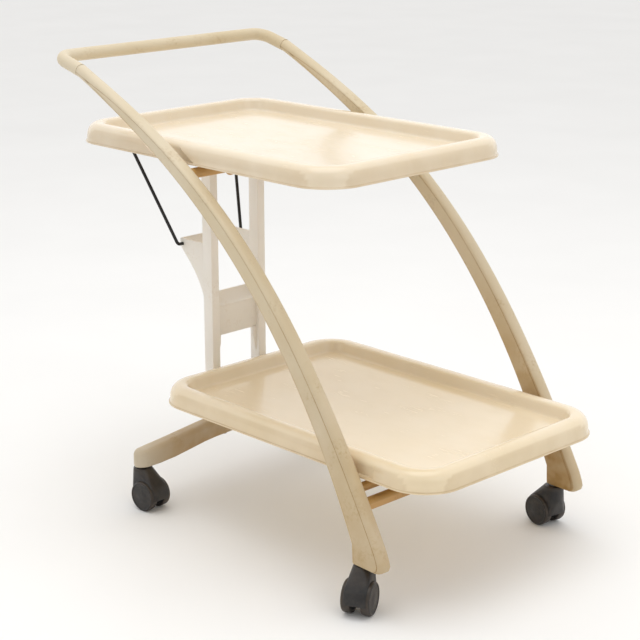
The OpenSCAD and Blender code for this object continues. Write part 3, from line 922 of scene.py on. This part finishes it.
def castor_hood(size):
    """Barrel hood with a tapered neck, open below and hollow beside the web that holds the axle."""
    r = size.wheel_radius + 0.0021
    axle = Vector((size.trail, 0.0, size.wheel_radius))
    bm = bmesh.new()
    barrel = [(r - 0.0016, -HOOD_HALF), (r - 0.0007, -0.0160), (r - 0.0001, -0.0125), (r + 0.0004, 0.0),
              (r - 0.0001, 0.0125), (r - 0.0007, 0.0160), (r - 0.0016, HOOD_HALF)]
    turned(bm, barrel, axle, (0.0, 1.0, 0.0), 72)
    neck = [(0.0164, 0.0480), (0.0162, 0.0620), (0.0157, 0.0668), (0.0146, 0.0689), (0.0, 0.0693)]
    crown = bmesh.new()
    turned(crown, neck, (0.0, 0.0, 0.0), (0.0, 0.0, 1.0), 48)
    for vert in crown.verts:
        bm.verts.new(vert.co)
    crown.free()
    hull = bmesh.ops.convex_hull(bm, input=list(bm.verts), use_existing_faces=False)
    spare = [g for g in hull["geom_interior"] + hull["geom_unused"] if isinstance(g, bmesh.types.BMVert)]
    bmesh.ops.delete(bm, geom=list(dict.fromkeys(spare)), context="VERTS")
    bmesh.ops.dissolve_limit(bm, angle_limit=math.radians(0.5), verts=bm.verts, edges=bm.edges)
    # Only the barrel's two flat ends open, where the wheels stand out
    ends = [f for f in bm.faces if all(abs(v.co.y) > HOOD_HALF - 0.0001 for v in f.verts)]
    bmesh.ops.delete(bm, geom=ends, context="FACES_ONLY")
    bmesh.ops.bisect_plane(bm, geom=bm.verts[:] + bm.edges[:] + bm.faces[:],
                           plane_co=(0.0, 0.0, HOOD_CUT), plane_no=(0.0, 0.0, -1.0), clear_outer=True)
    bmesh.ops.recalc_face_normals(bm, faces=bm.faces)
    outwards = max(bm.faces, key=lambda f: f.calc_center_median().z)
    if outwards.normal.z < 0:
        bmesh.ops.reverse_faces(bm, faces=bm.faces)
    bmesh.ops.solidify(bm, geom=list(bm.faces), thickness=0.0011)
    web = around(axle, r - 0.0006, (-9, *range(0, 181, 10), 189))
    web += around(axle, AXLE_BOSS, range(228, 313, 12))
    plate(bm, web, -WEB_HALF, WEB_HALF, "Y")
    return bm


def castor_wheel(size, side):
    """Wheel with a rounded tread and a dished outer disc."""
    r = size.wheel_radius
    bm = bmesh.new()
    profile = [(0.00305, 0.0078), (0.0100, 0.0078), (0.0104, 0.0098), (r - 0.0052, 0.0098),
               (r - 0.0048, 0.0077), (r - 0.0020, 0.0077), (r - 0.0008, 0.0084),
               (r - 0.0001, 0.0102), (r, 0.0192), (r - 0.0004, 0.0206),
               (r - 0.0014, 0.0216), (r - 0.0028, 0.0220), (r - 0.0034, 0.0216), (r - 0.0040, 0.0211),
               (0.0150, 0.0215), (0.0080, 0.0217), (0.0072, 0.0220), (0.0, 0.0220)]
    turned(bm, [(a, side * h) for a, h in profile], (size.trail, 0.0, r), (0.0, 1.0, 0.0), 72)
    return bm


class TROLLEY_OT_castors(bpy.types.Operator):
    """Build the hoods and wheels of the four castors"""

    bl_idname = "trolley.castors"
    bl_label = "Castors"

    def execute(self, context):
        size = context.scene.trolley_castors
        for name, x, y, turn in CASTORS:
            place = Matrix.Translation((x, y, 0.0)) @ Matrix.Rotation(math.radians(turn), 4, "Z")
            bm = castor_hood(size)
            mark_grime_and_shade(bm, lambda co: 0.45 if co.z > 0.066 else 0.0)
            bmesh.ops.transform(bm, matrix=place, verts=bm.verts)
            add_piece(name + "_hood_shell", bm, "castor_nylon", name + "_castor", "castor_dark",
                      (name + "_hood",))
            for part, side in (("outer", -1.0), ("inner", 1.0)):
                bm = castor_wheel(size, side)
                edge = size.wheel_radius
                centre = Vector((size.trail, 0.0, edge))
                mark_grime_and_shade(bm, lambda co: 0.55 if (co - centre).xz.length > edge - 0.001 else 0.0)
                bmesh.ops.transform(bm, matrix=place, verts=bm.verts)
                add_piece(name + "_" + part + "_tread", bm, "wheel_nylon", name + "_" + part + "_roller",
                          "castor_dark", (name + "_" + part + "_wheel",))
        return {"FINISHED"}


# ---------------------------------------------------------------- fixings


class TROLLEY_OT_fixings(bpy.types.Operator):
    """Ease the brackets and clips, and finish the metal parts"""

    bl_idname = "trolley.fixings"
    bl_label = "Fixings"

    def execute(self, context):
        for node, finish, body, slot, edge in (
            ("hinge_bracket", "bar_polypropylene", "side_frame", "bar_tan", 0.0007),
            ("upper_hinge_clips", "bar_polypropylene", "upper_tray_set", "bar_tan", 0.0006),
            ("stay_saddles", "bar_polypropylene", "upper_tray_set", "bar_tan", 0.0005),
            ("lower_hinge_clips", "bar_polypropylene", "lower_tray_set", "bar_tan", 0.0006),
            ("tray_rest", "plated_steel", "rear_column", "steel", 0.0004),
        ):
            eased_copy(node, node + "_eased", finish, body, slot, edge)
        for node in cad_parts:
            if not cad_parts[node].hide_render:
                dress_node(node, "plated_steel")
        return {"FINISHED"}


# ---------------------------------------------------------------- stage


FLOOR_REACH = 30.0
CAMERA_PLACE = (1.8161, -1.7875, 1.0783)
CAMERA_SHIFT = (0.0792, 0.0423)
# What the lamps are turned to
MIDDLE = Vector((0.0, 0.0, 0.35))
# Each soft lamp: name, place, width, power in watts
LAMPS = (
    ("overhead", (0.2, -0.2, 3.0), 2.4, 27.0),
    ("front", (3.0, -0.5, 1.9), 1.8, 8.0),
    ("side", (-0.6, -3.2, 1.6), 1.8, 5.0),
)
# The bright side of the room, and how strong it is at its darkest and brightest
BACKDROP = (-0.68, 0.68, 0.27)
ROOM_LIGHT = (0.50, 1.15)


class TROLLEY_OT_stage(bpy.types.Operator):
    """Set up the floor, the soft lights and the camera"""

    bl_idname = "trolley.stage"
    bl_label = "Stage"

    def execute(self, context):
        size = context.scene.trolley_stage
        bm = bmesh.new()
        bmesh.ops.create_grid(bm, x_segments=1, y_segments=1, size=FLOOR_REACH)
        mesh = bpy.data.meshes.new("studio_floor")
        bm.to_mesh(mesh)
        bm.free()
        floor = bpy.data.objects.new("studio_floor", mesh)
        mesh.materials.append(material("studio_floor"))
        context.scene.collection.objects.link(floor)
        level = math.cos(size.elevation)
        back = Vector((math.sin(size.azimuth) * level, -math.cos(size.azimuth) * level,
                       math.sin(size.elevation)))
        camera = bpy.data.objects.new("view", bpy.data.cameras.new("view"))
        context.scene.collection.objects.link(camera)
        context.scene.camera = camera
        camera.location = CAMERA_PLACE
        camera.rotation_mode = "QUATERNION"
        roll = Quaternion((0, 0, 1), size.roll)
        camera.rotation_quaternion = (-back).to_track_quat("-Z", "Y") @ roll
        camera.data.sensor_width = 36.0
        camera.data.lens = size.lens
        camera.data.shift_x, camera.data.shift_y = CAMERA_SHIFT
        camera.data.clip_end = 100.0
        for name, place, width, power in LAMPS:
            lamp = bpy.data.lights.new(name, "AREA")
            lamp.shape = "SQUARE"
            lamp.size = width
            lamp.energy = power
            light = bpy.data.objects.new(name, lamp)
            light.location = place
            light.rotation_mode = "QUATERNION"
            light.rotation_quaternion = (MIDDLE - Vector(place)).to_track_quat("-Z", "Y")
            context.scene.collection.objects.link(light)
        world = bpy.data.worlds.new("studio")
        world.use_nodes = True
        tree = world.node_tree
        way = add_node(tree, "TexCoord").outputs["Generated"]
        # A white backdrop stands behind the trolley, so that side of the room is the brighter one
        behind = add_node(tree, "VectorMath", {0: way, 1: BACKDROP}, operation="DOT_PRODUCT")
        power = between(tree, behind.outputs["Value"], -0.8, 0.8, *ROOM_LIGHT)
        tree.links.new(power, tree.nodes["Background"].inputs["Strength"])
        tree.nodes["Background"].inputs["Color"].default_value = linear("#FFFFFF")
        context.scene.world = world
        context.scene.view_settings.view_transform = "Standard"
        return {"FINISHED"}


# ---------------------------------------------------------------- panel and registration


STEPS = ("trays", "arms", "handle", "cross_bars", "column", "stay_wire", "castors", "fixings", "stage")


class TROLLEY_PT_panel(bpy.types.Panel):
    """Lists the trolley's settings and build steps"""

    bl_idname = "TROLLEY_PT_panel"
    bl_label = "Serving trolley"
    bl_space_type = "VIEW_3D"
    bl_region_type = "UI"
    bl_category = "Trolley"

    def draw(self, context):
        for name in SETTINGS:
            group = getattr(context.scene, name)
            box = self.layout.box()
            for key in group.__annotations__:
                box.prop(group, key)
        for step in STEPS:
            self.layout.operator("trolley." + step)


SETTINGS = {
    "trolley_finishes": FinishSettings,
    "trolley_trays": TraySettings,
    "trolley_arms": ArmSettings,
    "trolley_column": ColumnSettings,
    "trolley_castors": CastorSettings,
    "trolley_stage": StageSettings,
}

CLASSES = (
    *SETTINGS.values(),
    TROLLEY_OT_trays, TROLLEY_OT_arms, TROLLEY_OT_handle, TROLLEY_OT_cross_bars, TROLLEY_OT_column,
    TROLLEY_OT_stay_wire, TROLLEY_OT_castors, TROLLEY_OT_fixings, TROLLEY_OT_stage, TROLLEY_PT_panel,
)


def register():
    """Register the classes and hang the settings on the scene."""
    for cls in CLASSES:
        bpy.utils.register_class(cls)
    for name, group in SETTINGS.items():
        setattr(bpy.types.Scene, name, PointerProperty(type=group))


def unregister():
    """Undo register."""
    for name in SETTINGS:
        delattr(bpy.types.Scene, name)
    for cls in reversed(CLASSES):
        bpy.utils.unregister_class(cls)


def main():
    """Build every piece and the stage."""
    register()
    for step in STEPS:
        getattr(bpy.ops.trolley, step)()


if __name__ == "__main__":
    main()
